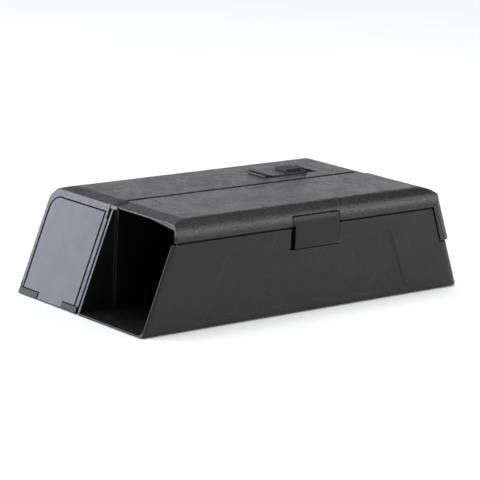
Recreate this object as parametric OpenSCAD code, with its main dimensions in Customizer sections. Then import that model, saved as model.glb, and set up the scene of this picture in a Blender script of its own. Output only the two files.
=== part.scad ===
// Lockable bait station: front tunnel with a lift-up lid, rear bait chamber with a locked cover.
// Millimetres. +Z is up, the long front wall faces -Y, the open entrance faces -X.

/* [Body] */
// Length over the ground edges of the two end faces
body_l = 400; // [394:1:406]
// Width from the front wall to the rear wall
body_w = 200; // [198:1:206]
// Height from the ground to the flat top
body_h = 104; // [103:0.5:107]
// Wall thickness of the mouldings
wall = 2.5; // [2.3:0.1:2.7]
// Radius along the front top edge
edge_r = 18; // [17:0.5:18.5]
// Radius along the rear top edge
rear_r = 21; // [20:0.5:22]
// Lean of each end face, millimetres inwards per millimetre of height
end_lean = 0.38; // [0.37:0.01:0.39]
// How much further the closed end reaches than the open end
end_reach = 5.2; // [4.6:0.2:5.8]
// Rounding of the upright corners
corner_r = 12; // [11:0.5:12.5]
// Rounding between the top and the closed end
end_top_r = 27; // [26:0.5:28]
// Rounding along the foot of the front and the rear
foot_r = 5; // [4.5:0.5:6]
// Rounding along the foot of the closed end
end_foot_r = 8; // [7:0.5:8.5]
// Length of the shallow bevel at the open end of the top
bevel_l = 16; // [15:0.5:17]
// Drop of that bevel
bevel_drop = 2.5; // [1.5:0.1:2.7]

/* [Base] */
// Thickness of the floor
floor_t = 2; // [1.8:0.1:2.2]
// Rise of the floor between the two feet
foot_rise = 1.4; // [1.3:0.1:1.6]
// Depth of the raised-border panel in the front wall
panel_depth = 0.5; // [0.4:0.1:1]
// Height of the panel's top edge
panel_top = 68; // [62:1:70]
// Distance of each floor anchor from the middle, along the length
anchor_x = 165; // [164:1:167]
// Distance of each floor anchor from the middle, across the width
anchor_y = 70; // [66:1:74]
// Radius of the floor anchor holes
anchor_r = 2.25; // [2:0.05:2.5]

/* [Divider] */
// Thickness of the middle wall
divider_t = 6.8; // [6.6:0.1:7]
// Distance from the middle to the end of the thick part of that wall
divider_end = 160.5; // [160:0.1:160.8]
// Width of the passage through the middle wall
passage_w = 58; // [50:1:60]
// Height of the top of that passage
passage_top = 68; // [60:1:70]

/* [Lid] */
// Radius of the lid's hinge barrel
lid_barrel_r = 5; // [4.8:0.1:5]
// Gap between the lid and the base at the front
seam_gap = 2; // [1.7:0.1:2.1]
// Width of the lid's return on the front wall at the closed end
return_w = 12; // [11.5:0.1:12.5]
// How far the lid's end skirt stands proud of the base
skirt_proud = 4.1; // [3.9:0.1:4.2]
// Height of the lower edge of the lid's end skirt
skirt_low = 50; // [46:1:54]

/* [Front latch] */
// Width of the latch plate
latch_w = 55.3; // [53:0.1:55.5]
// Extra width of the latch above the seam
latch_ear = 3; // [2:0.5:3]
// Height of the latch's lower edge
latch_low = 63.5; // [62.5:0.5:64.5]
// Thickness of the latch plate
latch_t = 3.4; // [3.2:0.1:3.5]

/* [Rear cover] */
// Height of the cover's lower edge
cover_low = 7; // [6.8:0.1:7.4]
// Radius of the cover's hinge barrel
cover_barrel_r = 3; // [2.9:0.1:3.1]
// Radius of the long hinge rod
hinge_rod_r = 1.25; // [1:0.05:1.4]

/* [End door] */
// Thickness of the door panel
door_t = 3.2; // [3:0.1:3.3]
// Gap round the door panel
door_gap = 2; // [1.8:0.1:2.1]
// Radius of the door's upper rear corner
door_corner_r = 12.5; // [12:0.5:13]
// Width of the tab at the foot of the door
tab_w = 38.4; // [36:0.1:38.6]

/* [Lock] */
// Travel of the sliding bolt
bolt_travel = 8; // [7:0.5:8]
// Thickness of the sliding bolt
bolt_t = 4; // [3.8:0.1:4]
// Radius of the key barrel
barrel_r = 6; // [5.5:0.1:6.2]
// Height of the thumb slide above the flat top
thumb_rise = 3.4; // [3:0.1:3.6]

/* [Bait] */
// Length of one bait block
block_l = 44; // [36:1:46]
// Width and height of one bait block
block_w = 26; // [20:1:28]
// Radius of the bait rods
rod_r = 2; // [1.8:0.1:2.2]

/* [Hidden] */
$fn = 48;

plastic = [0.16, 0.16, 0.17];
plastic_light = [0.22, 0.22, 0.23];
steel = [0.7, 0.7, 0.72];
brass = [0.75, 0.6, 0.3];
bait_blue = [0.12, 0.35, 0.45];
plate_grey = [0.78, 0.78, 0.8];

fit = 0.05;          // radial clearance of a turning pin
over = 1;            // overshoot of a cut past a face
half_l = body_l / 2;
half_w = body_w / 2;
lean_deg = atan(end_lean);
lean_cos = cos(lean_deg);
arc_y = half_w - edge_r;
arc_z = body_h - edge_r;
rear_y = half_w - rear_r;
rear_z = body_h - rear_r;
far = half_l + 10;   // reach of construction shapes past the ends
closed_foot = half_l + end_reach;
lid_foot = closed_foot + skirt_proud;
bevel_slope = bevel_drop / bevel_l;
bevel_x = half_l - end_lean * (body_h - bevel_drop) - bevel_l;
base_top = arc_z - 0.3 - seam_gap;
lid_low = arc_z - 0.3;
floor_top = foot_rise + floor_t;

lid_axis_y = -1.2;
lid_axis_z = body_h - lid_barrel_r - 0.05;
block_x = bevel_x + 0.5;
lid_side_y = -7.2;
hinge_clear = 6.7;   // everything of the lid outside this radius misses the hinge blocks
lid_pin_r = 2;

cover_front = lid_axis_y + lid_barrel_r + 0.8;
cover_side = 3.2;
cover_axis_y = half_w - cover_barrel_r;
cover_axis_z = cover_low + cover_barrel_r;
lug_x = [-150, 0, 150];
lug_w = 14;

divider_y = 1;
rim_y = -1.5;
divider_front = divider_y - divider_t;
divider_top = lid_axis_z - lid_barrel_r - 1.4;
cap_low = body_h - 5.7;
passage_x = 122;

latch_x = -20.3;
latch_hub_r = latch_t / 2 + 0.2;
latch_pin_r = 1;
latch_ang = 25;
latch_axis_y = -arc_y - (edge_r - latch_hub_r) * cos(latch_ang);
latch_axis_z = arc_z + (edge_r - latch_hub_r) * sin(latch_ang);
latch_round = 2.5;
pocket_l = 5.8;
pocket_r = 0.4;
pocket_floor = -half_w + 5.5;
shelf_z = skirt_low - seam_gap;

door_front = 8;
door_rear = half_w - 5.5;
door_head = (body_h - 9) / lean_cos;
door_hub_r = 1.8;
door_axis_w = door_head - 8;
head_gap = 1.1;
door_pin_r = 0.9;
tab_y = 28.4;
tab_gap = 0.4;

lock_x = 76;
lock_y = 39;
well = [45.8, 113.5, 22, 56.5];
well_floor = 90.5 + body_h - 104;
housing_t = 2.4;
cam_top = well_floor - 3.9;
cam_t = 3;
cam_r = 9;
peg_r = 2;
peg_arm = bolt_travel / sqrt(2);
bolt_top = cam_top - cam_t - 0.4;
bolt_low = bolt_top - bolt_t;
bolt_mid = bolt_top - bolt_t / 2;
flap_axis_x = 49.5;
flap_r = 3.4;
flap_axis_z = body_h - wall / 2;
flap_pin_r = 0.8;
flap_end = 99.5;
flap_top = body_h + 1;
flap_notch = 4;
tongue_x = 88.7;
tongue_top = body_h - 2.7;
housing_lugs = [for (x = [51, 107], y = [well[2] - housing_t - 4, well[3] + housing_t + 4]) [x, y]];
plate_area = [[127.5, 24], [136, 56]];
dashes = [[-22, -17], [-9.5, 18], [23.5, 28]];

panel_x = half_l - end_lean * panel_top - 76.5;
tray = [-132, 82, 9, 88];
rod_y = [28, 69];
rod_z = floor_top + 27;
block_pitch = 62;
block_mid = -25;

// ---------- shared shapes ----------

// Distance of the closed end face from the middle at height z
function closed_x(z) = closed_foot - end_lean * z;

// Points of an arc about c
function arc_pts(c, r, from, to, n = 8) =
    [for (i = [0:n]) c + r * [cos(from + (to - from) * i / n), sin(from + (to - from) * i / n)]];

// Sets a profile drawn in Y and Z along X
module along_x(x0, x1)
    translate([x0, 0, 0])
        rotate([90, 0, 90])
            linear_extrude(x1 - x0)
                children();

// Sets a profile drawn in X and Z along Y
module along_y(y0, y1)
    translate([0, y1, 0])
        rotate([90, 0, 0])
            linear_extrude(y1 - y0)
                children();

module box(a, b)
    translate(a)
        cube(b - a);

// Local frame of the entrance end face: X inwards from the face, Z up along its slope
module on_left_end(foot = half_l)
    translate([-foot, 0, 0])
        rotate([0, lean_deg, 0])
            children();

module on_right_end(foot = closed_foot)
    mirror([1, 0, 0])
        on_left_end(foot)
            children();

// Everything on the inner side of the closed end, set in from its outside
module behind_closed_end(foot, inset)
    on_right_end(foot)
        translate([0, 0, -20])
            linear_extrude(320)
                closed_plan(inset);

// Rod along X, from x0 to x1
module rod_x(x0, x1, y, z, r)
    translate([x0, y, z])
        rotate([0, 90, 0])
            cylinder(h = x1 - x0, r = r);

// Rod along Y, from y0 to y1
module rod_y(y0, y1, x, z, r)
    translate([x, y1, z])
        rotate([90, 0, 0])
            cylinder(h = y1 - y0, r = r);

// Cross-section of the closed box, inset behind the outside
module cross_profile(inset) {
    low_y = half_w - foot_r;
    polygon([[-half_w + inset, foot_r], [-half_w + inset, arc_z], [-arc_y, arc_z], [-arc_y, body_h - inset],
        [rear_y, body_h - inset], [rear_y, rear_z], [half_w - inset, rear_z], [half_w - inset, foot_r],
        [low_y, foot_r], [low_y, inset], [-low_y, inset], [-low_y, foot_r]]);
    translate([-arc_y, arc_z])
        circle(r = edge_r - inset);
    translate([rear_y, rear_z])
        circle(r = rear_r - inset);
    for (s = [-1, 1])
        translate([s * low_y, foot_r])
            circle(r = foot_r - inset);
}

// Side view of the closed box, inset behind the outside. The open end runs on past its face.
module side_profile(foot, inset) {
    top_z = body_h - end_top_r;
    top_x = foot - end_lean * top_z - end_top_r / lean_cos;
    foot_x = foot - (end_lean + 1 / lean_cos) * end_foot_r;
    polygon(concat([[-far, inset]],
        arc_pts([foot_x, end_foot_r], end_foot_r - inset, -90, lean_deg),
        arc_pts([top_x, top_z], end_top_r - inset, lean_deg, 90, 24),
        [[-bevel_x, body_h - inset], [-far, body_h - inset - (far - bevel_x) * bevel_slope]]));
}

// Plan of the box seen along the open end: the corners turn in by 30 degrees
module open_plan() {
    x = corner_r * sin(30);
    y = half_w - corner_r + 0.05;
    polygon(concat([[far * 2, half_w + 5], [x, half_w + 5]], arc_pts([x, y], corner_r, 90, 120),
        arc_pts([x, -y], corner_r, 240, 270), [[x, -half_w - 5], [far * 2, -half_w - 5]]));
}

// Plan of the box seen along the closed end, inset behind the outside, with full round corners
module closed_plan(inset) {
    c = half_w - corner_r;
    translate([corner_r, -half_w + inset])
        square([far * 2, body_w - 2 * inset]);
    translate([inset, -c])
        square([corner_r, 2 * c]);
    for (s = [-1, 1])
        translate([corner_r, s * c])
            circle(r = corner_r - inset);
}

// Whole outside of the closed station as one solid
module outside(foot = closed_foot)
    intersection() {
        along_x(-far, far)
            cross_profile(0);
        along_y(-half_w - 5, half_w + 5)
            side_profile(foot, 0);
        on_left_end()
            translate([0, 0, -20])
                linear_extrude(320)
                    open_plan();
        behind_closed_end(foot, -0.05);
    }

// Inside of the mouldings, running on past the open end
module inside(foot, inset)
    intersection() {
        along_x(-far - over, far)
            cross_profile(inset);
        along_y(-half_w - 5, half_w + 5)
            side_profile(foot, inset);
        behind_closed_end(foot, inset - 0.05);
    }

// Outline of the lid's end skirt and front edge in X and Z. Offset d grows it.
module lid_side(d) {
    skirt_x = closed_x(lid_low) - return_w;
    slope = 0.359;
    low = skirt_low - d;
    polygon([[-far, lid_low - d], [skirt_x - d, lid_low - d], [skirt_x - d + slope * (lid_low - low), low],
        [far, low], [far, body_h + 5], [-far, body_h + 5]]);
}

// Underside of the floor with its two feet, closed at the given height
module floor_side(rise, top)
    polygon([[-far, rise - 2], [-far, rise], [-half_l + 55, rise], [-half_l + 66, rise + foot_rise],
        [half_l - 76, rise + foot_rise], [half_l - 65, rise], [far, rise], [far, top], [-far, top]]);

// ---------- base ----------

module base_walls() {
    // floor
    difference() {
        along_y(-half_w - over, half_w + over)
            floor_side(0, 10);
        along_y(-half_w - 2, half_w + 2)
            floor_side(floor_t, 20);
    }
    // front wall, cut back behind the lid's return
    difference() {
        box([-far, -half_w - over, foot_rise], [far, -half_w + wall, base_top]);
        along_y(-half_w - 2, -half_w + wall + 2)
            lid_side(seam_gap);
    }
    difference() {
        along_y(-half_w - over, -half_w + wall)
            floor_side(0, foot_rise + over);
        box([-far, -half_w - 2, -3], [far, half_w, -0.5]);
    }
    // cove along the foot of the front wall
    difference() {
        box([-far, -half_w + over, floor_t - 0.5], [far, -half_w + wall + 6, floor_t + 6]);
        rod_x(-far - over, far + over, -half_w + wall + 6, floor_t + 6, 6);
    }
    // closed end below the lid's skirt, and below the rear cover
    difference() {
        union() {
            box([170, -half_w - over, -over], [far, 2.4, shelf_z]);
            box([170, 0, -over], [far, half_w + over, cover_low - 0.6]);
        }
        behind_closed_end(closed_foot, wall);
    }
    // ledge and inner wall behind the lid's return and skirt
    difference() {
        union() {
            box([closed_x(skirt_low) - return_w - 4, -half_w - over, skirt_low - 4],
                [far, divider_front - 0.7, shelf_z]);
            intersection() {
                box([150, -half_w, skirt_low - 4], [far, divider_front - 0.7, base_top + 3]);
                behind_closed_end(lid_foot, wall + 0.65);
            }
        }
        behind_closed_end(lid_foot, 2 * wall + 0.65);
    }
    // low sills under the rear cover at the open end
    on_left_end() {
        box([-over, 5, -10], [wall, tab_y - tab_gap, (cover_low - 0.6) / lean_cos]);
        box([-over, tab_y + tab_w + door_gap, -10], [wall, half_w + over, (cover_low - 0.6) / lean_cos]);
    }
    box([-far, half_w - wall, foot_rise], [far, half_w + over, cover_low - 0.6]);
    difference() {
        along_y(half_w - wall, half_w + over)
            floor_side(0, foot_rise + over);
        box([-far, 0, -3], [far, half_w + 2, -0.5]);
    }
}

// Pocket in the front wall round the latch, grown by d
module latch_pocket(d, top)
    box([latch_x - pocket_l - d, -half_w - 2, latch_low - 1 - d],
        [latch_x + latch_w + pocket_r + d, pocket_floor + d, top]);

module base()
    color(plastic)
        difference() {
            union() {
                intersection() {
                    outside();
                    union() {
                        base_walls();
                        latch_pocket(wall, base_top);
                        for (x = lug_x)
                            box([x - lug_w / 2, cover_axis_y - cover_barrel_r + 0.05, floor_t - 0.5],
                                [x + lug_w / 2, cover_axis_y + 2.2, cover_axis_z]);
                    }
                }
                // inner lip that the lid closes over
                for (x = [[-161, latch_x - pocket_l - 3], [latch_x + latch_w + 5.4, 150.5]]) {
                    box([x[0], -half_w + wall - 0.5, base_top - 8], [x[1], -half_w + 4.6, base_top]);
                    box([x[0], -half_w + wall + 0.6, base_top - over], [x[1], -half_w + 4.6, base_top + 2.8]);
                }
                // knuckles of the rear cover's hinge
                for (x = lug_x)
                    rod_x(x - lug_w / 2, x + lug_w / 2, cover_axis_y, cover_axis_z, cover_barrel_r);
                // collars round the floor anchors
                for (x = [-anchor_x, anchor_x], y = [-anchor_y, anchor_y])
                    translate([x, y, floor_t - 0.5])
                        cylinder(h = 2.5, r = anchor_r + 4.5);
                // guides that hold the middle wall upright
                for (x = [-120, -40, 40], y = [divider_front - 2.6, divider_y + 0.1])
                    box([x - 6, y, floor_top - 0.5], [x + 6, y + 2.5, floor_top + 12]);
            }
            // panel in the front wall
            for (i = [0, 1]) {
                in = 2.4 * i;
                along_y(-half_w - over, -half_w + panel_depth * (i + 1) / 2)
                    polygon(concat(
                        [[half_l - 70.7 - in, 7.5 + in]],
                        arc_pts([panel_x, panel_top - 10], 10 - in, 10, 90),
                        arc_pts([-panel_x, panel_top - 10], 10 - in, 90, 170),
                        [[-half_l + 70.7 + in, 7.5 + in]]));
            }
            difference() {
                latch_pocket(0, base_top + over);
                // ramp that the latch snaps behind
                along_x(latch_x + 12, latch_x + latch_w - 12)
                    polygon([[pocket_floor + over, latch_low + 5.7], [pocket_floor, latch_low + 5.7],
                        [pocket_floor - 1.4, latch_low + 9.9], [pocket_floor, latch_low + 11.4],
                        [pocket_floor + over, latch_low + 11.4]]);
            }
            for (x = [-anchor_x, anchor_x], y = [-anchor_y, anchor_y])
                translate([x, y, -over])
                    cylinder(h = 10, r = anchor_r);
            for (x = [-120, -40, 40, 80])
                translate([x, divider_y - divider_t / 2, 0])
                    cylinder(h = 10, r = 1.7);
            // room for the tab of the end door, and a notch beside the middle wall
            on_left_end() {
                box([-2, tab_y - tab_gap, -10], [door_t + door_gap, tab_y + tab_w + door_gap, 12]);
                box([-2, divider_y + 0.2, -10], [3, 4.8, 12]);
            }
            // chamfer under the open end
            along_y(-half_w - over, half_w + over)
                polygon([[-half_l - 2.16, 2.4], [-half_l - 2.16, -0.9], [-half_l + 3.34, -0.9]]);
            rod_x(-half_l, half_l, cover_axis_y, cover_axis_z, hinge_rod_r);
        }

// ---------- middle wall and what is fixed to it ----------

// End view of a hinge block above the given height
module block_profile(low) {
    front = lid_axis_y - lid_barrel_r;
    rear = lid_axis_y + lid_barrel_r;
    polygon([[front, low], [rear, low], [rear, body_h + over], [front + 2.2, body_h + over],
        [front, body_h - 1.2]]);
}

module divider_flange()
    box([wall + 0.9, divider_y - 0.2, 4.4], [2 * wall + 0.6, cover_side + 1, 88]);

module divider()
    color(plastic)
        difference() {
            union() {
                intersection() {
                    outside();
                    union() {
                        along_y(divider_front, divider_y)
                            polygon([[-divider_end, 0], [closed_x(0) - 3.6, 0],
                                [closed_x(skirt_low) - 3.6, skirt_low], [far, skirt_low],
                                [far, divider_top], [-divider_end, divider_top]]);
                        // thinner edge that reaches the open end face
                        box([-half_l, rim_y, 0], [-divider_end + over, divider_y, cap_low + over]);
                        // hinge blocks
                        along_x(block_x, far)
                            block_profile(divider_top - 3);
                        along_x(-divider_end, -block_x)
                            block_profile(divider_top - 3);
                        along_x(-half_l, -block_x)
                            block_profile(cap_low);
                    }
                }
                // flanges that close the slit beside the rear cover
                on_left_end()
                    divider_flange();
                on_right_end()
                    divider_flange();
            }
            along_y(-20, 20)
                floor_side(floor_t, -over);
            along_y(-20, 20)
                polygon(concat(
                    [[passage_x + passage_w / 2, floor_top + 4], [passage_x - passage_w / 2, floor_top + 4]],
                    arc_pts([passage_x - passage_w / 2 + 12, passage_top - 12], 12, 180, 90),
                    arc_pts([passage_x + passage_w / 2 - 12, passage_top - 12], 12, 90, 0)));
            // slot for the sliding bolt
            box([lock_x - 8, -20, bolt_low - 0.8], [lock_x + 8, 20, bolt_top + 0.8]);
            for (s = [-1, 1])
                rod_y(divider_front + 1.4, 5, lock_x + s * 12.5, bolt_mid, 1.2);
            for (x = [-block_x - 10.2, block_x - over])
                rod_x(x, x + 10.2 + over, lid_axis_y, lid_axis_z, lid_pin_r);
            for (x = [-120, -40, 40, 80])
                translate([x, divider_y - divider_t / 2, 0])
                    cylinder(h = 16, r = 1.5);
        }

module lid_hinge_pins()
    color(steel)
        for (x = [-block_x - 10, block_x - 24])
            rod_x(x, x + 34, lid_axis_y, lid_axis_z, lid_pin_r);

module divider_screws()
    color(steel)
        for (x = [-120, -40, 40, 80])
            translate([x, divider_y - divider_t / 2, 0]) {
                difference() {
                    translate([0, 0, 0.2])
                        cylinder(h = foot_rise - 0.2, r = 3);
                    box([-2, -0.4, 0], [2, 0.4, 0.7]);
                }
                translate([0, 0, foot_rise - 0.1])
                    cylinder(h = 14, r = 1.5);
            }

module lock_strike()
    color(steel)
        difference() {
            box([lock_x - 17, divider_y, bolt_low - 4], [lock_x + 17, divider_y + 1.5, bolt_top + 4]);
            box([lock_x - 8, -1, bolt_low - 0.8], [lock_x + 8, 5, bolt_top + 0.8]);
            for (s = [-1, 1])
                rod_y(-2, 5, lock_x + s * 12.5, bolt_mid, 1.2);
        }

module strike_screws()
    color(steel)
        for (s = [-1, 1])
            difference() {
                union() {
                    rod_y(divider_front + 1.8, divider_y + 1.6, lock_x + s * 12.5, bolt_mid, 1.2);
                    rod_y(divider_y + 1.5, divider_y + 2.9, lock_x + s * 12.5, bolt_mid, 2.4);
                }
                box([lock_x + s * 12.5 - 1.7, divider_y + 2.3, bolt_mid - 0.3],
                    [lock_x + s * 12.5 + 1.7, divider_y + 4, bolt_mid + 0.3]);
            }

module rear_hinge_rod()
    color(steel)
        rod_x(-half_l + 12, half_l - 12, cover_axis_y, cover_axis_z, hinge_rod_r);

// ---------- bait ----------

module bait_tray()
    color(plastic_light)
        difference() {
            union() {
                difference() {
                    box([tray[0], tray[2], floor_top], [tray[1], tray[3], floor_top + 13]);
                    for (y = [[tray[2] + 2, 47.5], [49.5, tray[3] - 2]])
                        box([tray[0] + 2, y[0], floor_top + 2], [tray[1] - 2, y[1], floor_top + 20]);
                }
                // uprights that carry the rods
                for (x = [tray[0], tray[1] - 4], y = rod_y)
                    box([x, y - 7, floor_top], [x + 4, y + 7, rod_z + 5]);
            }
            for (y = rod_y) {
                rod_x(tray[0] - over, tray[1] + over, y, rod_z, rod_r);
                box([tray[0] - over, y - rod_r + 0.3, rod_z], [tray[0] + 5, y + rod_r - 0.3, rod_z + 9]);
                box([tray[1] - 5, y - rod_r + 0.3, rod_z], [tray[1] + over, y + rod_r - 0.3, rod_z + 9]);
            }
        }

module bait_rods()
    color(steel)
        for (y = rod_y)
            rod_x(tray[0] - 6, tray[1] + 6, y, rod_z, rod_r);

module rod_clips()
    color(steel)
        for (x = [tray[0] - 3.2, tray[1] + 1.2], y = rod_y)
            translate([x, y, rod_z])
                rotate([0, 90, 0])
                    difference() {
                        cylinder(h = 2, r = 5);
                        translate([0, 0, -over])
                            cylinder(h = 4, r = rod_r);
                        box([-6, -0.8, -over], [0, 0.8, 3]);
                    }

// One pressed block with grooved sides, threaded on a rod
module bait_block(i) {
    x = block_mid + block_pitch * ((i % 3) - 1);
    y = rod_y[floor(i / 3)];
    color(bait_blue)
        translate([x, y, rod_z])
            difference() {
                box([-block_l / 2, -block_w / 2, -block_w / 2], [block_l / 2, block_w / 2, block_w / 2]);
                rod_x(-block_l, block_l, 0, 0, rod_r);
                for (g = [-1.5:1:1.5], turn = [0:90:270])
                    rotate([turn, 0, 0])
                        box([g * block_l / 5 - 1.6, -block_w, block_w / 2 - 1.5],
                            [g * block_l / 5 + 1.6, block_w, block_w]);
            }
}

// ---------- lid and latch ----------

// Ring sector behind the round front edge, for the latch and its housing
module edge_ring(x0, x1, r_in, r_out, z_low, z_high)
    intersection() {
        difference() {
            union() {
                rod_x(x0, x1, -arc_y, arc_z, r_out);
                box([x0, -arc_y - r_out, z_low - 2], [x1, -arc_y, arc_z]);
            }
            rod_x(x0 - over, x1 + over, -arc_y, arc_z, r_in);
            box([x0 - over, -arc_y - r_in, z_low - 3], [x1 + over, -arc_y + over, arc_z]);
        }
        box([x0 - 2, -half_w - 2, z_low], [x1 + 2, -arc_y - 2, z_high]);
    }

module lid()
    color(plastic)
        difference() {
            union() {
                difference() {
                    intersection() {
                        outside(lid_foot);
                        union() {
                            along_y(-half_w - over, lid_side_y)
                                lid_side(0);
                            box([-bevel_x + 0.2, lid_side_y - over, body_h - 6],
                                [bevel_x - 0.2, lid_axis_y, body_h + over]);
                        }
                    }
                    inside(lid_foot, wall);
                    // thin rim round the entrance
                    intersection() {
                        inside(lid_foot, 1.3);
                        on_left_end()
                            box([-30, -half_w, -10], [5, half_w, 200]);
                    }
                    for (x = [-far, bevel_x - 0.2])
                        rod_x(x, x + far - bevel_x + 0.2, lid_axis_y, lid_axis_z, hinge_clear);
                    box([-half_l, lid_side_y - 4, 0], [-half_l + 44, 0, cap_low + 2]);
                }
                rod_x(-bevel_x + 0.2, bevel_x - 0.2, lid_axis_y, lid_axis_z, lid_barrel_r);
                // housing behind the latch
                edge_ring(latch_x - latch_ear - 4.5, latch_x + latch_w + 4.5, edge_r - 6.4,
                    edge_r - wall + 0.4, lid_low, arc_z + 11);
                // ribs under the top
                for (x = [-90, 60, 110])
                    box([x - 1, -half_w + 20, body_h - wall - 5],
                        [x + 1, lid_side_y - 3, body_h - wall + 0.5]);
                // tapered rib behind the entrance
                intersection() {
                    along_x(-160, -140)
                        cross_profile(wall - 0.4);
                    along_x(-160, -140)
                        polygon([[-half_w, body_h - 13], [lid_side_y - 5, body_h - 4],
                            [lid_side_y - 5, body_h], [-half_w, body_h]]);
                    along_y(-half_w, lid_side_y - 5)
                        polygon([[-152, body_h - 3], [-150.4, body_h - 3],
                            [-152.2, body_h - 13.5], [-153.8, body_h - 13.5]]);
                }
            }
            // opening for the latch, open at the bottom
            intersection() {
                union() {
                    edge_ring(latch_x - latch_ear - 0.8, latch_x + latch_w + 0.8, edge_r - latch_t - 1,
                        edge_r + 3, lid_low - over, latch_axis_z);
                    rod_x(latch_x - latch_ear - 0.8, latch_x + latch_w + 0.8, latch_axis_y, latch_axis_z,
                        latch_hub_r + 0.8);
                }
                along_y(-half_w - 5, -half_w + 30)
                    latch_front(0.82, latch_round - 0.2);
            }
            rod_x(latch_x - latch_ear - 3.9, latch_x + latch_w + 3.9, latch_axis_y, latch_axis_z,
                latch_pin_r);
            for (x = [-bevel_x - over, bevel_x - 25])
                rod_x(x, x + 26, lid_axis_y, lid_axis_z, lid_pin_r + fit);
            // three plain sunk dashes on the top
            for (x = dashes)
                box([x[0], lid_side_y - 3.5, body_h - 0.8], [x[1], lid_side_y - 1.7, body_h + over]);
        }

module latch_pin()
    color(steel)
        rod_x(latch_x - latch_ear - 3.7, latch_x + latch_w + 3.7, latch_axis_y, latch_axis_z, latch_pin_r);

// Front view of the latch's top, grown by d, with corners of radius r
module latch_front(d, r) {
    left = latch_x - latch_ear - d;
    right = latch_x + latch_w + d;
    top = latch_axis_z + latch_hub_r + 0.02 + d;
    polygon(concat([[left, 0], [right, 0]],
        arc_pts([right - r, top - r], r, 0, 90),
        arc_pts([left + r, top - r], r, 90, 180)));
}

module front_latch()
    color(plastic_light)
        difference() {
            union() {
                edge_ring(latch_x, latch_x + latch_w, edge_r - latch_t, edge_r, latch_low, arc_z + over);
                // wider top with rounded corners, turning on the pin
                intersection() {
                    union() {
                        edge_ring(latch_x - latch_ear, latch_x + latch_w, edge_r - latch_t, edge_r,
                            lid_low + 0.3, latch_axis_z);
                        rod_x(latch_x - latch_ear, latch_x + latch_w, latch_axis_y, latch_axis_z,
                            latch_hub_r);
                    }
                    along_y(-half_w - 2, -half_w + 20)
                        latch_front(0.01, latch_round);
                }
                // catch that sits under the ramp
                along_x(latch_x + 13, latch_x + latch_w - 13)
                    polygon([[-half_w + latch_t - 0.5, latch_low + 2], [-half_w + latch_t, latch_low + 2],
                        [-half_w + latch_t + 1.3, latch_low + 3.5],
                        [-half_w + latch_t + 1.3, latch_low + 4.6],
                        [-half_w + latch_t, latch_low + 5.6], [-half_w + latch_t - 0.5, latch_low + 5.6]]);
            }
            rod_x(latch_x - 5, latch_x + latch_w + over, latch_axis_y, latch_axis_z, latch_pin_r + fit);
            // finger groove in the lower edge
            along_x(latch_x + 8, latch_x + latch_w - 8)
                polygon([[-half_w + 1.2, latch_low - over], [-half_w + latch_t + over, latch_low - over],
                    [-half_w + latch_t + over, latch_low + 1.2]]);
        }

// ---------- rear cover and end door ----------

// Outline of the door opening along the sloping end face, in Y and slope height.
// The outline is set in by one gap at its sides and by another at its head.
module door_outline(gap, top_gap, low) {
    r = door_corner_r + door_gap - gap;
    y1 = door_rear - door_corner_r - door_gap;
    polygon(concat([[door_front + gap, low], [door_rear - gap, low]],
        arc_pts([y1, door_head - top_gap - r], r, 0, 90, 12),
        [[door_front + gap, door_head - top_gap]]));
}

// Extrudes an outline drawn in Y and slope height inwards from the end face
module from_end(x0, x1)
    translate([x0, 0, 0])
        rotate([90, 0, 90])
            linear_extrude(x1 - x0)
                children();

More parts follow.
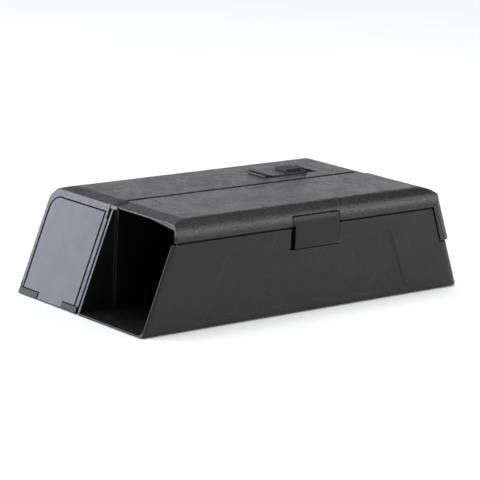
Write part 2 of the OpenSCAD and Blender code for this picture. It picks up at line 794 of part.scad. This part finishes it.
module rear_cover()
    color(plastic)
        difference() {
            union() {
                difference() {
                    intersection() {
                        outside();
                        union() {
                            box([-far, cover_front, cover_axis_z], [far, half_w + over, body_h + over]);
                            box([-far, cover_side, cover_low], [far, cover_axis_y, divider_top - 4]);
                        }
                    }
                    intersection() {
                        inside(closed_foot, wall);
                        on_left_end()
                            box([wall, 0, -20], [2 * body_l, half_w, 320]);
                    }
                    on_left_end()
                        from_end(-2, wall + 2)
                            door_outline(0, 0, -10);
                }
                // rolled lower edge that the hinge rod runs through
                intersection() {
                    rod_x(-far, far, cover_axis_y, cover_axis_z, cover_barrel_r - 0.02);
                    outside();
                }
                // front lip
                box([-bevel_x + 3, cover_front, bolt_low - 4],
                    [bevel_x - 3, cover_front + 2.2, body_h - wall + 0.5]);
                on_left_end() {
                    // stops behind the door
                    box([wall - 0.5, door_front - 3, 10], [door_t + 3.2, door_front, door_axis_w - 12]);
                    box([door_t + 0.4, door_front - 3, 10],
                        [door_t + 3.2, door_front + 3.5, door_axis_w - 12]);
                    box([wall - 0.5, door_rear, 14], [door_t + 3.2, door_rear + 3, door_axis_w - 16]);
                    box([door_t + 0.4, door_rear - 3.5, 14], [door_t + 3.2, door_rear + 3, door_axis_w - 16]);
                    // blocks for the door's hinge pins
                    for (y = [[cover_front, door_front], [door_rear - 1.6, 95.8]])
                        box([wall - 0.5, y[0], door_axis_w - 3], [door_hub_r + 2.8, y[1], door_axis_w + 3]);
                }
                for (p = housing_lugs)
                    translate([p[0], p[1], body_h - wall - 3])
                        cylinder(h = 3.5, r = 4);
            }
            on_left_end()
                for (y = [[5.2, door_front + over], [door_rear - 8, 95.2]])
                    rod_y(y[0], y[1], door_hub_r, door_axis_w, door_pin_r);
            // well of the lock
            box([well[0], well[2], body_h - wall - over], [well[1], well[3], body_h + over]);
            rod_y(well[2] - 3.4, well[3] + 3.4, flap_axis_x, flap_axis_z, flap_pin_r);
            // hole for the sliding bolt
            box([lock_x - 7.6, cover_front - over, bolt_low - 0.6],
                [lock_x + 7.6, cover_front + 4, bolt_top + 0.6]);
            for (p = housing_lugs)
                translate([p[0], p[1], body_h - wall - 4])
                    cylinder(h = 5.2, r = 1.2);
            // seat of the plate
            box([plate_area[0][0] - 0.1, plate_area[0][1] - 0.1, body_h - 0.8],
                [plate_area[1][0] + 0.1, plate_area[1][1] + 0.1, body_h + over]);
            // gaps for the hinge lugs and the running hole of the rod
            for (x = lug_x)
                rod_x(x - lug_w / 2 - 0.5, x + lug_w / 2 + 0.5, cover_axis_y, cover_axis_z,
                    cover_barrel_r + 0.8);
            rod_x(-far, far, cover_axis_y, cover_axis_z, hinge_rod_r + fit);
        }

module door_pins()
    color(steel)
        on_left_end() {
            rod_y(5.4, 21, door_hub_r, door_axis_w, door_pin_r);
            rod_y(74, 95, door_hub_r, door_axis_w, door_pin_r);
        }

module end_door()
    color(plastic_light)
        on_left_end()
            difference() {
                union() {
                    from_end(0, door_t)
                        door_outline(door_gap, head_gap, (cover_low + 0.2) / lean_cos);
                    rod_y(door_front + door_gap, door_rear - 5, door_hub_r, door_axis_w, door_hub_r - 0.02);
                    box([0, tab_y, 1.2], [door_t, tab_y + tab_w, 12]);
                    // ribs on the inside
                    for (w = [30, 58])
                        box([door_t - 0.3, door_front + 8, w], [door_t + 3, door_rear - 8, w + 2]);
                    for (y = [30, 66])
                        box([door_t - 0.3, y, 14], [door_t + 3, y + 2, door_axis_w - 5]);
                }
                rod_y(0, half_w, door_hub_r, door_axis_w, door_pin_r + fit);
            }

// ---------- lock ----------

module lock_housing()
    color(plastic_light)
        difference() {
            union() {
                difference() {
                    box([well[0] - housing_t, well[2] - housing_t, well_floor - 2.5],
                        [well[1] + housing_t, well[3] + housing_t, body_h - wall]);
                    box([well[0], well[2], well_floor], [well[1], well[3], body_h]);
                }
                translate([lock_x, lock_y, well_floor - 0.5])
                    cylinder(h = 6.5, r = barrel_r + 3.5);
                // rails that guide the bolt
                for (s = [-1, 1]) {
                    box([lock_x + s * 14 - 2.6, lock_y - 14, bolt_low - 2.4],
                        [lock_x + s * 14 + 2.6, lock_y + 17, well_floor - 2]);
                    box([lock_x + s * 12.5 - 3, lock_y - 14, bolt_low - 2.4],
                        [lock_x + s * 12.5 + 3, lock_y + 17, bolt_low - 0.4]);
                }
                for (p = housing_lugs)
                    translate([p[0], p[1], body_h - wall - 5.5]) {
                        cylinder(h = 2.5, r = 4);
                        translate([-3, p[1] < lock_y ? 0 : -4.5, 0])
                            cube([6, 4.5, 2.5]);
                    }
            }
            translate([lock_x, lock_y, 0])
                cylinder(h = body_h, r = barrel_r + fit);
            // slot that the tongue locks into
            box([tongue_x - 3.6, well[3] - over, tongue_top - 2.7], [tongue_x + 3.6, well[3] + 4, body_h]);
            for (p = housing_lugs)
                translate([p[0], p[1], body_h - wall - 6])
                    cylinder(h = 4, r = 1.2);
        }

module housing_screws()
    color(steel)
        for (p = housing_lugs)
            translate([p[0], p[1], body_h - wall - 5.5])
                difference() {
                    union() {
                        cylinder(h = 6.4, r = 1.2);
                        translate([0, 0, -1.6])
                            cylinder(h = 1.6, r = 2.6);
                    }
                    box([-1.8, -0.4, -2], [1.8, 0.4, -0.9]);
                }

module lock_barrel()
    color(brass)
        translate([lock_x, lock_y, 0])
            difference() {
                union() {
                    translate([0, 0, cam_top])
                        cylinder(h = well_floor + 6.6 - cam_top, r = barrel_r);
                    translate([0, 0, well_floor + 6.4])
                        cylinder(h = 1.6, r = barrel_r + 1.8);
                }
                // keyway
                box([-0.9, -4, well_floor + 2], [0.9, 4, well_floor + 10]);
                box([-2.4, 1, well_floor + 2], [2.4, 2.4, well_floor + 10]);
                translate([0, 0, cam_top - over])
                    cylinder(h = 6, r = 1.4);
            }

module lock_cam()
    color(steel)
        translate([lock_x, lock_y, 0])
            difference() {
                union() {
                    translate([0, 0, cam_top - cam_t])
                        cylinder(h = cam_t, r = cam_r);
                    rotate([0, 0, 45])
                        translate([peg_arm, 0, bolt_low + 0.2])
                            cylinder(h = cam_top - bolt_low - 1, r = peg_r);
                }
                translate([0, 0, cam_top - cam_t - over])
                    cylinder(h = cam_t + 2, r = 1.4);
                translate([0, 0, cam_top - cam_t - over])
                    cylinder(h = over + 1.6, r = 2.8);
            }

module cam_screw()
    color(steel)
        translate([lock_x, lock_y, cam_top - cam_t])
            difference() {
                union() {
                    translate([0, 0, 0.1])
                        cylinder(h = 1.5, r = 2.6);
                    translate([0, 0, 1])
                        cylinder(h = 6.6, r = 1.4);
                }
                box([-1.8, -0.4, -1], [1.8, 0.4, 0.7]);
            }

module lock_bolt()
    color(steel)
        difference() {
            union() {
                box([lock_x - 7, cover_front + 0.6, bolt_low], [lock_x + 7, lock_y - 12, bolt_top]);
                box([lock_x - 11, lock_y - 12.5, bolt_low], [lock_x + 11, lock_y + 9, bolt_top]);
            }
            translate([lock_x, lock_y + bolt_travel / 2, 0])
                box([peg_arm / sqrt(2) - peg_r - 0.5, -peg_r - 0.35, bolt_low - over],
                    [peg_arm + peg_r + 0.5, peg_r + 0.35, bolt_top + over]);
        }

module lock_flap()
    color(plastic_light)
        difference() {
            union() {
                box([flap_axis_x, well[2] + over, body_h - 1], [flap_end, well[3] - over, flap_top]);
                rod_y(well[2] + flap_notch, well[3] - flap_notch + 0.5, flap_axis_x, flap_axis_z, flap_r);
                // rolled lip to lift it by
                rod_y(well[2] + over, lock_y - 9, flap_end - 2, body_h + 0.4, 2);
            }
            for (y = [well[2] - over, well[3] - flap_notch + 0.5])
                box([flap_axis_x - 5, y, 0], [flap_axis_x + flap_notch, y + flap_notch + over, body_h + 5]);
            rod_y(0, half_w, flap_axis_x, flap_axis_z, flap_pin_r + fit);
            // slot for the thumb slide
            box([tongue_x - 3, lock_y - 6.4, 0], [tongue_x + 3, lock_y + 2.4, body_h + 5]);
        }

module flap_pin()
    color(steel)
        rod_y(well[2] - 3.2, well[3] + 3.2, flap_axis_x, flap_axis_z, flap_pin_r);

module flap_slider()
    color(plastic)
        difference() {
            union() {
                box([tongue_x - 9.8, lock_y - 8, flap_top + 0.1],
                    [tongue_x + 9.8, lock_y + 10, body_h + thumb_rise]);
                box([tongue_x - 2.6, lock_y - 6, tongue_top],
                    [tongue_x + 2.6, lock_y - 2, flap_top + over]);
            }
            // grip ribs
            for (x = [-7.6:3.2:7])
                box([tongue_x + x, lock_y - 9, body_h + thumb_rise - 1.1],
                    [tongue_x + x + 1.6, lock_y + 11, body_h + 10]);
        }

module slider_tongue()
    color(steel)
        box([tongue_x - 3, lock_y - 8, tongue_top - 2.3], [tongue_x + 3, well[3] - 2.2, tongue_top]);

module id_plate()
    color(plate_grey)
        difference() {
            box([plate_area[0][0], plate_area[0][1], body_h - 0.8],
                [plate_area[1][0], plate_area[1][1], body_h + 0.1]);
            for (y = [plate_area[0][1] + 2.5, plate_area[1][1] - 2.5])
                translate([(plate_area[0][0] + plate_area[1][0]) / 2, y, body_h - 0.3])
                    cylinder(h = 1, r = 0.9);
        }

base();
divider();
divider_screws();
lid_hinge_pins();
rear_hinge_rod();
lock_strike();
strike_screws();
bait_tray();
bait_rods();
rod_clips();
bait_block(0);  // bait_block_1
bait_block(1);  // bait_block_2
bait_block(2);  // bait_block_3
bait_block(3);  // bait_block_4
bait_block(4);  // bait_block_5
bait_block(5);  // bait_block_6
lid();
latch_pin();
front_latch();
rear_cover();
door_pins();
end_door();
lock_housing();
housing_screws();
lock_barrel();
lock_cam();
cam_screw();
lock_bolt();
lock_flap();
flap_pin();
flap_slider();
slider_tongue();
id_plate();
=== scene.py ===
"""Lockable bait station: looks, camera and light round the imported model."""
import math

import bmesh
import bpy
from mathutils import Matrix, Vector, noise


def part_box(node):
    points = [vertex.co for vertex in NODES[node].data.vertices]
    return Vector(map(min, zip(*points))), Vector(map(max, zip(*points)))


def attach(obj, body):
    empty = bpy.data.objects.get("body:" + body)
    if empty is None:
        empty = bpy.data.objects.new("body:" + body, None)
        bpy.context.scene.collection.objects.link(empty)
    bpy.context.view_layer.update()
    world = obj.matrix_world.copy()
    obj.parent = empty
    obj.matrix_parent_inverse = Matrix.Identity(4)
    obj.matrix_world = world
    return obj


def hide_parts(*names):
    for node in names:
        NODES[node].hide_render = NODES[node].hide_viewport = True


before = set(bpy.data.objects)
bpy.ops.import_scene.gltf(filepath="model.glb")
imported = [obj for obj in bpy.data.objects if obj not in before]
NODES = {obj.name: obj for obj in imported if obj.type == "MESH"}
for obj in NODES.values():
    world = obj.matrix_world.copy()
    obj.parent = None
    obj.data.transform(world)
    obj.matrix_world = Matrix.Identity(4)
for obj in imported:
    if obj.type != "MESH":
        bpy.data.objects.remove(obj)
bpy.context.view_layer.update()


# ---------- shader helpers ----------

class Shader:
    """A node material that is built up line by line."""

    def __init__(self, name):
        self.mat = bpy.data.materials.new(name)
        self.mat.use_nodes = True
        self.tree = self.mat.node_tree
        self.tree.nodes.clear()
        self.out = self.node("ShaderNodeOutputMaterial")
        self.bsdf = self.node("ShaderNodeBsdfPrincipled")
        self.link(self.bsdf.outputs[0], self.out.inputs[0])
        self.coord = self.node("ShaderNodeTexCoord").outputs["Object"]

    def node(self, kind, **values):
        made = self.tree.nodes.new(kind)
        for key, value in values.items():
            setattr(made, key, value)
        return made

    def link(self, a, b):
        self.tree.links.new(a, b)

    def put(self, socket, value):
        """Links a socket or sets a plain value."""
        if isinstance(value, bpy.types.NodeSocket):
            self.link(value, socket)
        else:
            socket.default_value = value

    def moved(self, scale=(1, 1, 1), shift=(0, 0, 0)):
        made = self.node("ShaderNodeMapping")
        self.link(self.coord, made.inputs["Vector"])
        made.inputs["Location"].default_value = shift
        made.inputs["Scale"].default_value = scale
        return made.outputs[0]

    def noise(self, vector, scale, detail=3.0, rough=0.55, distortion=0.0):
        made = self.node("ShaderNodeTexNoise")
        self.link(vector, made.inputs["Vector"])
        made.inputs["Scale"].default_value = scale
        made.inputs["Detail"].default_value = detail
        made.inputs["Roughness"].default_value = rough
        made.inputs["Distortion"].default_value = distortion
        return made.outputs["Fac"]

    def cells(self, vector, scale):
        made = self.node("ShaderNodeTexVoronoi", feature="F1")
        self.link(vector, made.inputs["Vector"])
        made.inputs["Scale"].default_value = scale
        return made.outputs["Distance"]

    def math(self, kind, a, b=0.0, c=0.0):
        made = self.node("ShaderNodeMath", operation=kind)
        for socket, value in zip(made.inputs, (a, b, c)):
            self.put(socket, value)
        return made.outputs[0]

    def ranged(self, value, low, high, to_low=0.0, to_high=1.0, smooth=False):
        made = self.node("ShaderNodeMapRange")
        made.interpolation_type = "SMOOTHSTEP" if smooth else "LINEAR"
        for key, item in (("Value", value), ("From Min", low), ("From Max", high),
                          ("To Min", to_low), ("To Max", to_high)):
            self.put(made.inputs[key], item)
        return made.outputs[0]

    def mix(self, factor, a, b):
        made = self.node("ShaderNodeMix", data_type="RGBA")
        self.put(made.inputs[0], factor)
        self.put(made.inputs[6], a)
        self.put(made.inputs[7], b)
        return made.outputs[2]

    def rounded(self, radius):
        """Normal with softened edges, and a mask that is 1 on an edge."""
        soft = self.node("ShaderNodeBevel", samples=6)
        soft.inputs["Radius"].default_value = radius
        true = self.node("ShaderNodeNewGeometry").outputs["Normal"]
        dot = self.node("ShaderNodeVectorMath", operation="DOT_PRODUCT")
        self.link(soft.outputs[0], dot.inputs[0])
        self.link(true, dot.inputs[1])
        edge = self.ranged(dot.outputs["Value"], 0.995, 0.8, smooth=True)
        return soft.outputs[0], edge

    def bump(self, height, distance, strength=1.0, normal=None):
        made = self.node("ShaderNodeBump")
        self.put(made.inputs["Height"], height)
        made.inputs["Distance"].default_value = distance
        made.inputs["Strength"].default_value = strength
        if normal is not None:
            self.link(normal, made.inputs["Normal"])
        return made.outputs[0]

    def set(self, **values):
        for key, value in values.items():
            self.put(self.bsdf.inputs[key.replace("_", " ")], value)


def rgb(r, g, b):
    return (r, g, b, 1.0)


# ---------- materials ----------

def moulded_plastic(name, dark, light, rough, grain, shift, wear_and_highlight=0.5, edge=0.0006, haze=1.0,
                    shine=0.45):
    """Black moulded plastic: spark-eroded grain, faint handling marks, paler edges that are partly
    wear and partly painted highlight.
    """
    s = Shader(name)
    at = s.moved(shift=shift)
    fine = s.noise(at, 1700, 2.0, 0.6)
    coarse = s.noise(at, 780, 2.0, 0.5)
    cloud = s.noise(at, 16, 4.0, 0.6, 0.4)
    smudge = s.noise(s.moved((1, 1, 0.35), shift), 42, 3.0, 0.6, 1.2)
    scratch = s.noise(s.moved((60, 900, 900), shift), 1.0, 2.0, 0.5)
    scratch = s.ranged(scratch, 0.69, 0.74)
    grains = s.math("ADD", s.math("MULTIPLY", fine, 0.4), s.math("MULTIPLY", coarse, 0.6))
    normal, wear_and_highlight_mask = s.rounded(edge)
    wear_and_highlight_mask = s.math("MULTIPLY", wear_and_highlight_mask, s.ranged(s.noise(at, 130, 3.0), 0.3, 0.7, 0.35, 1.0))
    speckle = s.ranged(grains, 0.35, 0.65, 0.0, 0.55)
    tone = s.math("ADD", s.ranged(cloud, 0.3, 0.7, 0.0, 0.45), speckle)
    colour = s.mix(tone, rgb(*dark), rgb(*light))
    # paler edges: partly wear, partly a painted highlight where the edges catch the light
    pale_edge_wear_and_highlight = rgb(*[value * 3.2 for value in light])
    colour = s.mix(s.math("MULTIPLY", wear_and_highlight_mask, wear_and_highlight), colour, pale_edge_wear_and_highlight)
    gloss = s.ranged(smudge, 0.35, 0.65, -0.04 * haze, 0.05 * haze)
    gloss = s.math("ADD", gloss, s.ranged(grains, 0.35, 0.65, -0.05, 0.05))
    gloss = s.math("ADD", gloss, s.math("MULTIPLY", scratch, 0.03 * haze))
    s.set(Base_Color=colour, Roughness=s.math("ADD", gloss, rough), IOR=1.5)
    s.set(Specular_IOR_Level=shine, Normal=s.bump(grains, grain, 1.0, normal))
    return s.mat


def drawn_metal(name, base, pale, rough, along, spots=0.0):
    """Plated or turned metal, with fine draw lines along one axis and a few dull spots."""
    s = Shader(name)
    stretch = [2600.0] * 3
    stretch[along] = 40.0
    lines = s.noise(s.moved(stretch), 1.0, 2.0)
    haze = s.noise(s.coord, 90, 4.0, 0.6)
    dull = s.ranged(s.noise(s.coord, 260, 3.0), 0.6, 0.68)
    normal = s.rounded(0.0003)[0]
    colour = s.mix(s.ranged(haze, 0.35, 0.65), rgb(*base), rgb(*pale))
    dark_spot = rgb(*[value * 0.4 for value in base])
    colour = s.mix(s.math("MULTIPLY", dull, spots), colour, dark_spot)
    drawn = s.ranged(lines, 0.3, 0.7, -0.06, 0.06)
    gloss = s.math("ADD", drawn, s.ranged(haze, 0.3, 0.7, -0.06, 0.08))
    gloss = s.math("ADD", gloss, s.math("MULTIPLY", dull, 0.2))
    s.set(Base_Color=colour, Metallic=1.0, Roughness=s.math("ADD", gloss, rough))
    s.set(Normal=s.bump(lines, 0.00002, 0.6, normal))
    return s.mat


def pressed_bait(name):
    """Pressed wax bait: blue-green, mealy, with pale grains and darker pits."""
    s = Shader(name)
    meal = s.cells(s.coord, 700)
    pits = s.noise(s.coord, 420, 4.0, 0.65)
    cloud = s.noise(s.coord, 60, 3.0)
    colour = s.mix(s.ranged(cloud, 0.3, 0.7), rgb(0.010, 0.115, 0.150), rgb(0.020, 0.190, 0.215))
    colour = s.mix(s.ranged(meal, 0.28, 0.12, 0.0, 0.55), colour, rgb(0.16, 0.30, 0.26))
    colour = s.mix(s.ranged(pits, 0.42, 0.32), colour, rgb(0.004, 0.045, 0.060))
    height = s.math("ADD", s.math("MULTIPLY", pits, 0.8), s.math("MULTIPLY", meal, -0.3))
    s.set(Base_Color=colour, Roughness=s.ranged(pits, 0.3, 0.7, 0.48, 0.72), IOR=1.45)
    s.set(Normal=s.bump(height, 0.0006))
    return s.mat


def pale_strip(name):
    """Satin grey strip with fine rolled lines, a little grime and paler edges that are partly wear
    and partly painted highlight.
    """
    s = Shader(name)
    lines = s.noise(s.moved((2400, 60, 2400)), 1.0, 2.0)
    grime = s.noise(s.coord, 240, 4.0, 0.6, 0.6)
    normal, wear_and_highlight_mask = s.rounded(0.0004)
    colour = s.mix(s.ranged(lines, 0.3, 0.7), rgb(0.050, 0.050, 0.062), rgb(0.075, 0.075, 0.090))
    colour = s.mix(s.ranged(grime, 0.55, 0.75, 0.0, 0.6), colour, rgb(0.030, 0.030, 0.033))
    # paler edges: partly wear, partly a painted highlight
    colour = s.mix(s.math("MULTIPLY", wear_and_highlight_mask, 0.5), colour, rgb(0.16, 0.16, 0.18))
    s.set(Base_Color=colour, Roughness=s.ranged(lines, 0.3, 0.7, 0.32, 0.48), IOR=1.5)
    s.set(Normal=s.bump(lines, 0.00003, 0.5, normal))
    return s.mat


DARK = (0.0022, 0.0021, 0.0021)
LIGHT = (0.0070, 0.0066, 0.0066)
SATIN_DARK = (0.0062, 0.0062, 0.0074)
SATIN_LIGHT = (0.0120, 0.0120, 0.0145)

MATERIALS = {
    "base": moulded_plastic("shell_base", DARK, LIGHT, 0.33, 0.00080, (0.1, 0.2, 0.3), shine=0.36),
    "lid": moulded_plastic("shell_lid", DARK, LIGHT, 0.24, 0.00055, (1.1, 0.7, 0.4)),
    "rear_cover": moulded_plastic("shell_cover", DARK, LIGHT, 0.27, 0.00045, (2.3, 0.1, 0.9)),
    "divider": moulded_plastic("shell_divider", DARK, LIGHT, 0.40, 0.00008, (3.1, 1.2, 0.5)),
    "front_latch": moulded_plastic(
        "trim_latch", DARK, LIGHT, 0.35, 0.00030, (0.6, 2.0, 0.2), shine=0.32),
    "end_door": moulded_plastic(
        "trim_door", SATIN_DARK, SATIN_LIGHT, 0.38, 0.00004, (4.4, 0.3, 0.8), haze=0.3),
    "lock_flap": moulded_plastic(
        "trim_flap", SATIN_DARK, SATIN_LIGHT, 0.34, 0.00006, (0.9, 3.7, 0.1), haze=0.5),
    "flap_slider": moulded_plastic(
        "trim_slider", DARK, LIGHT, 0.40, 0.00005, (5.2, 0.6, 0.3), wear_and_highlight=0.9, edge=0.0004),
    "lock_housing": moulded_plastic(
        "inner_housing", DARK, LIGHT, 0.44, 0.00004, (0.2, 5.6, 0.7)),
    "bait_tray": moulded_plastic(
        "inner_tray", SATIN_DARK, SATIN_LIGHT, 0.42, 0.00004, (6.1, 0.2, 0.5)),
    "lock_barrel": drawn_metal(
        "turned_brass", (0.50, 0.36, 0.15), (0.66, 0.50, 0.24), 0.30, 2, 0.3),
    "id_plate": pale_strip("pale_strip"),
}
STEEL_X = drawn_metal("steel_rod", (0.42, 0.42, 0.44), (0.60, 0.60, 0.62), 0.30, 0, 0.5)
STEEL_Y = drawn_metal("steel_pin", (0.40, 0.40, 0.42), (0.56, 0.56, 0.58), 0.32, 1, 0.5)
STEEL_Z = drawn_metal("steel_screw", (0.42, 0.42, 0.43), (0.58, 0.58, 0.57), 0.34, 2, 0.6)
for name in ("lid_hinge_pins", "rear_hinge_rod", "bait_rods", "rod_clips", "latch_pin"):
    MATERIALS[name] = STEEL_X
for name in ("lock_bolt", "slider_tongue", "strike_screws", "lock_strike"):
    MATERIALS[name] = STEEL_Y
for name in ("divider_screws", "housing_screws", "lock_cam", "cam_screw"):
    MATERIALS[name] = STEEL_Z
BLACKENED = drawn_metal("blackened_pin", (0.020, 0.020, 0.022), (0.036, 0.036, 0.040), 0.42, 1, 0.3)
for name in ("door_pins", "flap_pin"):
    MATERIALS[name] = BLACKENED
BAIT = pressed_bait("bait_wax")
for index in range(1, 7):
    MATERIALS[f"bait_block_{index}"] = BAIT

for name, obj in NODES.items():
    for slot in obj.material_slots:
        slot.material = MATERIALS[name]
    if not obj.material_slots:
        obj.data.materials.append(MATERIALS[name])


# ---------- bait blocks ----------

# metres, but for the two frequencies
VOXEL = 0.0009
ROD_BORE = 0.004        # everything this near the rod's axis stays smooth
SINK = 0.00022
ROUGHNESS = 0.0002
CHIP_DEPTH = 0.004
ROUGH_FREQUENCY = 420
CHIP_FREQUENCY = 95


def bait_piece(node, seed):
    """The pressed block with softened grooves and a mealy, slightly chipped surface."""
    source = NODES[node]
    piece = bpy.data.objects.new(f"{node}_wax", source.data.copy())
    bpy.context.collection.objects.link(piece)
    piece.modifiers.new("remesh", "REMESH").mode = "VOXEL"
    piece.modifiers["remesh"].voxel_size = VOXEL
    soften = piece.modifiers.new("soften", "SMOOTH")
    soften.factor = 0.5
    soften.iterations = 4
    graph = bpy.context.evaluated_depsgraph_get()
    mesh = bpy.data.meshes.new_from_object(piece.evaluated_get(graph))
    piece.modifiers.clear()
    piece.data = mesh
    shift = Vector((seed * 3.1, seed * 1.7, seed * 2.3))
    lo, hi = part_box(node)
    centre = (Vector(lo) + Vector(hi)) / 2
    bm = bmesh.new()
    bm.from_mesh(mesh)
    bm.normal_update()
    for v in bm.verts:
        away = ((v.co.y - centre.y) ** 2 + (v.co.z - centre.z) ** 2) ** 0.5
        if away < ROD_BORE:
            continue
        rough = noise.fractal((v.co + shift) * ROUGH_FREQUENCY, 1.0, 2.0, 3)
        chip = max(0.0, noise.noise((v.co + shift) * CHIP_FREQUENCY) - 0.42)
        v.co -= v.normal * (SINK + ROUGHNESS * rough + CHIP_DEPTH * chip)
    bm.to_mesh(mesh)
    bm.free()
    for face in mesh.polygons:
        face.use_smooth = True
    mesh.materials.clear()
    mesh.materials.append(BAIT)
    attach(piece, "base")
    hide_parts(node)


for index in range(1, 7):
    bait_piece(f"bait_block_{index}", index)


# ---------- camera ----------

YAW = math.radians(40.194)
PITCH = math.radians(12.956)
ROLL = math.radians(-2.4816)
PLACE = (-1.5038, -1.7744, 0.5847)
LENS = 181.6
SENSOR = 36


def photo_camera():
    reach = math.cos(PITCH)
    ahead = Vector((math.sin(YAW) * reach, math.cos(YAW) * reach, -math.sin(PITCH)))
    level = Vector((math.cos(YAW), -math.sin(YAW), 0.0))
    down = ahead.cross(level)
    right = level * math.cos(ROLL) + down * math.sin(ROLL)
    below = down * math.cos(ROLL) - level * math.sin(ROLL)
    data = bpy.data.cameras.new("camera")
    data.sensor_width = SENSOR
    data.lens = LENS
    data.clip_start = 0.05
    data.clip_end = 100
    cam = bpy.data.objects.new("camera", data)
    axes = Matrix((right, -below, -ahead)).transposed().to_4x4()
    cam.matrix_world = Matrix.Translation(PLACE) @ axes
    bpy.context.collection.objects.link(cam)
    bpy.context.scene.camera = cam


photo_camera()


# ---------- floor and light ----------

def floor():
    """Plain pale ground, a hair under the feet so that the two faces never share a plane."""
    bm = bmesh.new()
    bmesh.ops.create_grid(bm, x_segments=8, y_segments=8, size=9)
    mesh = bpy.data.meshes.new("floor")
    bm.to_mesh(mesh)
    bm.free()
    obj = bpy.data.objects.new("floor", mesh)
    obj.location.z = -0.0002
    bpy.context.collection.objects.link(obj)
    s = Shader("pale_floor")
    tone = s.ranged(s.noise(s.coord, 3, 2.0), 0.3, 0.7)
    s.set(Base_Color=s.mix(tone, rgb(0.74, 0.75, 0.74), rgb(0.77, 0.78, 0.77)), Roughness=0.9)
    mesh.materials.append(s.mat)


def soft_light(name, towards, distance, size, power, colour):
    """Rectangular softbox that shines on the object from the given direction."""
    data = bpy.data.lights.new(name, "AREA")
    data.shape = "RECTANGLE"
    data.size, data.size_y = size
    data.energy = power
    data.color = colour
    light = bpy.data.objects.new(name, data)
    way = Vector(towards).normalized()
    light.location = way * distance + Vector((0, 0, 0.05))
    light.rotation_euler = way.to_track_quat("Z", "Y").to_euler()
    bpy.context.collection.objects.link(light)


def studio_world():
    """Pale studio: a bright band near the horizon, dim walls, a wide ceiling light, a dark flag."""
    world = bpy.data.worlds.new("studio")
    bpy.context.scene.world = world
    world.use_nodes = True
    tree = world.node_tree
    coord = tree.nodes.new("ShaderNodeTexCoord")
    split = tree.nodes.new("ShaderNodeSeparateXYZ")
    tree.links.new(coord.outputs["Generated"], split.inputs[0])
    ramp = tree.nodes.new("ShaderNodeValToRGB")
    tree.links.new(split.outputs["Z"], ramp.inputs[0])
    stops = ((0.00, 1.05), (0.24, 0.98), (0.30, 0.07), (0.85, 0.07), (0.92, 4.60))
    while len(ramp.color_ramp.elements) < len(stops):
        ramp.color_ramp.elements.new(1.0)
    for element, (place, level) in zip(ramp.color_ramp.elements, stops):
        tint = (1.0, 1.0, 1.02) if place > 0.5 else (1.0, 0.985, 1.05)
        element.position = place
        element.color = tuple(level * part for part in tint) + (1.0,)
    tree.links.new(ramp.outputs[0], tree.nodes["Background"].inputs["Color"])
    # a dark flag to the right of the closed end
    flag = tree.nodes.new("ShaderNodeMapRange")
    tree.links.new(split.outputs["X"], flag.inputs["Value"])
    for key, value in (("From Min", 0.78), ("From Max", 0.88), ("To Min", 1.0), ("To Max", 0.12)):
        flag.inputs[key].default_value = value
    tree.links.new(flag.outputs[0], tree.nodes["Background"].inputs["Strength"])


floor()
studio_world()
soft_light("rear_left", (-0.62, 0.744, 0.27), 2.2, (1.7, 1.1), 42, (0.84, 0.87, 1.03))
soft_light("front_right", (0.60, -0.62, 0.47), 2.4, (1.4, 1.00), 31, (1.0, 0.99, 0.98))
bpy.context.scene.view_settings.view_transform = "Standard"
bpy.context.scene.view_settings.look = "None"
